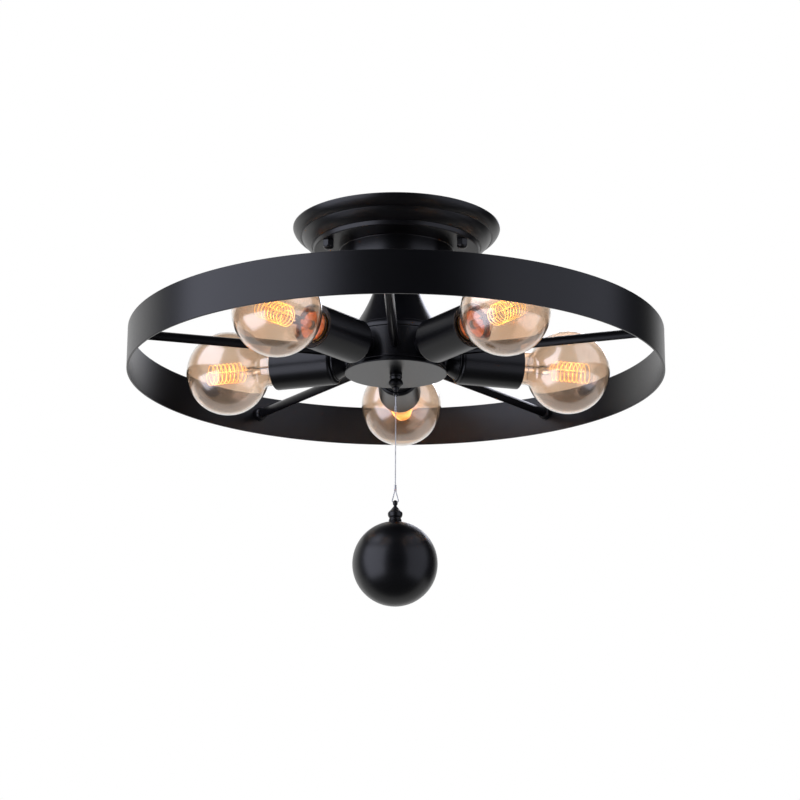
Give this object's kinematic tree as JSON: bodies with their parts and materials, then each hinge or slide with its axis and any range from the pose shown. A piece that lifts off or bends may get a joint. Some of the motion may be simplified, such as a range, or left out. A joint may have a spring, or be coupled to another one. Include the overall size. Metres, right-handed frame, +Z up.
{
  "type": "semi-flush ceiling light",
  "caption": "Semi-flush ceiling light: a flat black ring on spokes round a hub, globe lamps in cups that point outwards, a stepped canopy, a bell stem and a small ball hanging on a wire.",
  "frame": {"origin": "centre of the ceiling plane, midway between the ceiling plate's two slots", "axes": "+Z up into the ceiling along the light's axis, +Y along lamp 1, +X along the slots"},
  "size_m": [0.5, 0.5, 0.3632],
  "materials": {
    "black_coat": "satin powder coat",
    "zinc_steel": "zinc plated",
    "brass": "plain drawn brass",
    "solder": "dull solder",
    "black_moulding": "moulded phenolic",
    "ivory_moulding": "moulded",
    "lead_sleeve": "silicone sleeve",
    "amber_glass": "amber tinted, clear",
    "glowing_wire": "glowing",
    "steel_wire": "bright drawn wire"
  },
  "bodies": {
    "fixture": {"ceiling_plate": "zinc_steel", "plate_studs": "zinc_steel", "canopy": "black_coat", "cap_nuts": "black_coat", "terminal_block": "ivory_moulding", "earth_screw": "brass", "stem_pipe": "zinc_steel", "stem_nuts": "zinc_steel", "stem_washers": "zinc_steel", "bell_cover": "black_coat", "hub_drum": "black_coat", "cover_plate": "black_coat", "hub_finial": "black_coat", "ring_band": "black_coat", "spoke_collars": "black_coat", "spoke_nuts": "zinc_steel", "cup_nipples": "black_coat", "nipple_nuts": "zinc_steel", "lampholders": "black_moulding", "screw_shells": "brass", "centre_contacts": "brass", "junction_board": "black_moulding", "supply_leads": "lead_sleeve", "holder_leads": "lead_sleeve", "spoke_1": "black_coat", "spoke_2": "black_coat", "spoke_3": "black_coat", "spoke_4": "black_coat", "spoke_5": "black_coat", "lamp_cup_1": "black_coat", "lamp_cup_2": "black_coat", "lamp_cup_3": "black_coat", "lamp_cup_4": "black_coat", "lamp_cup_5": "black_coat"},
    "bulb_1_foot": {"bulb_tip_1": "solder"},
    "bulb_1": {"bulb_cap_1": "brass", "bulb_glass_1": "amber_glass", "filament_1": "glowing_wire"},
    "bulb_2_foot": {"bulb_tip_2": "solder"},
    "bulb_2": {"bulb_cap_2": "brass", "bulb_glass_2": "amber_glass", "filament_2": "glowing_wire"},
    "bulb_3_foot": {"bulb_tip_3": "solder"},
    "bulb_3": {"bulb_cap_3": "brass", "bulb_glass_3": "amber_glass", "filament_3": "glowing_wire"},
    "bulb_4_foot": {"bulb_tip_4": "solder"},
    "bulb_4": {"bulb_cap_4": "brass", "bulb_glass_4": "amber_glass", "filament_4": "glowing_wire"},
    "bulb_5_foot": {"bulb_tip_5": "solder"},
    "bulb_5": {"bulb_cap_5": "brass", "bulb_glass_5": "amber_glass", "filament_5": "glowing_wire"},
    "wire_eye": {"upper_loop": "steel_wire"},
    "wire": {"drop_wire": "steel_wire", "lower_loop": "steel_wire"},
    "ball": {"drop_ball": "black_coat", "ball_finial": "black_coat"}
  },
  "joints": [
    {"name": "bulb_1_travel", "type": "slide", "parent": "fixture", "child": "bulb_1_foot", "axis": [0, 1, 0], "range_m": [0, 0.0146]},
    {"name": "bulb_1_turn", "type": "hinge", "parent": "bulb_1_foot", "child": "bulb_1", "pos_m": [0, 0, -0.1272], "axis": [0, 1, 0], "range_deg": [0, 1440]},
    {"name": "bulb_2_travel", "type": "slide", "parent": "fixture", "child": "bulb_2_foot", "axis": [-0.9511, 0.309, 0], "range_m": [0, 0.0146]},
    {"name": "bulb_2_turn", "type": "hinge", "parent": "bulb_2_foot", "child": "bulb_2", "pos_m": [0, 0, -0.1272], "axis": [-0.9511, 0.309, 0], "range_deg": [0, 1440]},
    {"name": "bulb_3_travel", "type": "slide", "parent": "fixture", "child": "bulb_3_foot", "axis": [-0.5878, -0.809, 0], "range_m": [0, 0.0146]},
    {"name": "bulb_3_turn", "type": "hinge", "parent": "bulb_3_foot", "child": "bulb_3", "pos_m": [0, 0, -0.1272], "axis": [-0.5878, -0.809, 0], "range_deg": [0, 1440]},
    {"name": "bulb_4_travel", "type": "slide", "parent": "fixture", "child": "bulb_4_foot", "axis": [0.5878, -0.809, 0], "range_m": [0, 0.0146]},
    {"name": "bulb_4_turn", "type": "hinge", "parent": "bulb_4_foot", "child": "bulb_4", "pos_m": [0, 0, -0.1272], "axis": [0.5878, -0.809, 0], "range_deg": [0, 1440]},
    {"name": "bulb_5_travel", "type": "slide", "parent": "fixture", "child": "bulb_5_foot", "axis": [0.9511, 0.309, 0], "range_m": [0, 0.0146]},
    {"name": "bulb_5_turn", "type": "hinge", "parent": "bulb_5_foot", "child": "bulb_5", "pos_m": [0, 0, -0.1272], "axis": [0.9511, 0.309, 0], "range_deg": [0, 1440]},
    {"name": "eye_swing", "type": "hinge", "parent": "fixture", "child": "wire_eye", "pos_m": [0, 0, -0.1648], "axis": [0, 1, 0], "range_deg": [-40, 40]},
    {"name": "wire_sway", "type": "hinge", "parent": "wire_eye", "child": "wire", "pos_m": [0, 0, -0.1812], "axis": [1, 0, 0], "range_deg": [-40, 40]},
    {"name": "ball_nod", "type": "hinge", "parent": "wire", "child": "ball", "pos_m": [0, 0, -0.2663], "axis": [1, 0, 0], "range_deg": [-45, 45]}
  ],
  "couplings": [
    {"joint": "bulb_1_travel", "follows": "bulb_1_turn", "m_per_rad": 0.0005775},
    {"joint": "bulb_2_travel", "follows": "bulb_2_turn", "m_per_rad": 0.0005775},
    {"joint": "bulb_3_travel", "follows": "bulb_3_turn", "m_per_rad": 0.0005775},
    {"joint": "bulb_4_travel", "follows": "bulb_4_turn", "m_per_rad": 0.0005775},
    {"joint": "bulb_5_travel", "follows": "bulb_5_turn", "m_per_rad": 0.0005775}
  ]
}
